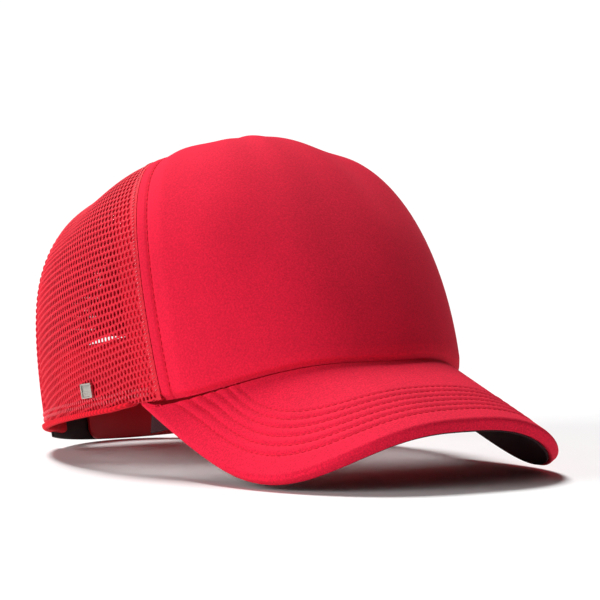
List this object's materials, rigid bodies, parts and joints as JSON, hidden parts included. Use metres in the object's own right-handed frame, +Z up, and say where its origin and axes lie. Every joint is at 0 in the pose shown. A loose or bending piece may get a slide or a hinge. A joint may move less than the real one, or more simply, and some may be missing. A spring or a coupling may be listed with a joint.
{
  "type": "trucker cap",
  "caption": "Trucker cap with a foam front panel, mesh sides and back, a curved stitched visor and an adjustable snap strap at the rear.",
  "frame": {"origin": "middle of the cap's footprint at floor level, standing on the visor's two tips and the snap strap's foot", "axes": "+Z up, the visor points to -Y, the wearer's left is +X"},
  "size_m": [0.1724, 0.2692, 0.1387],
  "materials": {
    "front_knit": "matt knit laminated to foam",
    "lining_foam": "dark red open-cell foam, matt",
    "mesh_red": "knitted polyester mesh",
    "tape_red": "woven seam tape",
    "sweatband_red": "woven twill",
    "visor_red": "matt knit, topstitched",
    "visor_under_black": "plain black woven fabric",
    "board_plastic": "moulded board",
    "strap_black": "satin moulded plastic",
    "strap_red": "satin moulded plastic",
    "button_red": "fabric-covered button",
    "rivet_metal": "plain steel",
    "badge_metal": "satin nickel"
  },
  "bodies": {
    "root": {"front_panel_face": "front_knit", "front_panel_foam": "lining_foam", "side_mesh_right": "mesh_red", "side_mesh_left": "mesh_red", "rear_mesh_right": "mesh_red", "rear_mesh_left": "mesh_red", "front_seam_tape_right": "tape_red", "front_seam_tape_left": "tape_red", "side_seam_tape_right": "tape_red", "side_seam_tape_left": "tape_red", "rear_seam_tape": "tape_red", "rear_arch_binding": "tape_red", "sweatband": "sweatband_red", "visor_top_cover": "visor_red", "visor_top_foam": "lining_foam", "visor_board": "board_plastic", "visor_under_cover": "visor_under_black", "hole_strap_tab": "strap_black", "peg_strap_tab": "strap_red", "top_button": "button_red", "top_button_rivet": "rivet_metal", "top_button_washer": "rivet_metal", "badge_plate": "badge_metal", "badge_clinch_plate": "badge_metal"},
    "hole_strap": {"hole_strap": "strap_black"},
    "peg_strap": {"peg_strap": "strap_red"}
  },
  "joints": [
    {"name": "hole_strap_swing", "type": "hinge", "parent": "root", "child": "hole_strap", "pos_m": [-0.03986, 0.11436, 0.01335], "axis": [-0.0017, 0.1764, 0.9843], "range_deg": [0, 70], "stiffness_Nm_per_rad": 0.05},
    {"name": "peg_strap_swing", "type": "hinge", "parent": "root", "child": "peg_strap", "pos_m": [0.03895, 0.11319, 0.01356], "axis": [0.0031, 0.1754, 0.9845], "range_deg": [0, 40], "stiffness_Nm_per_rad": 0.05}
  ]
}
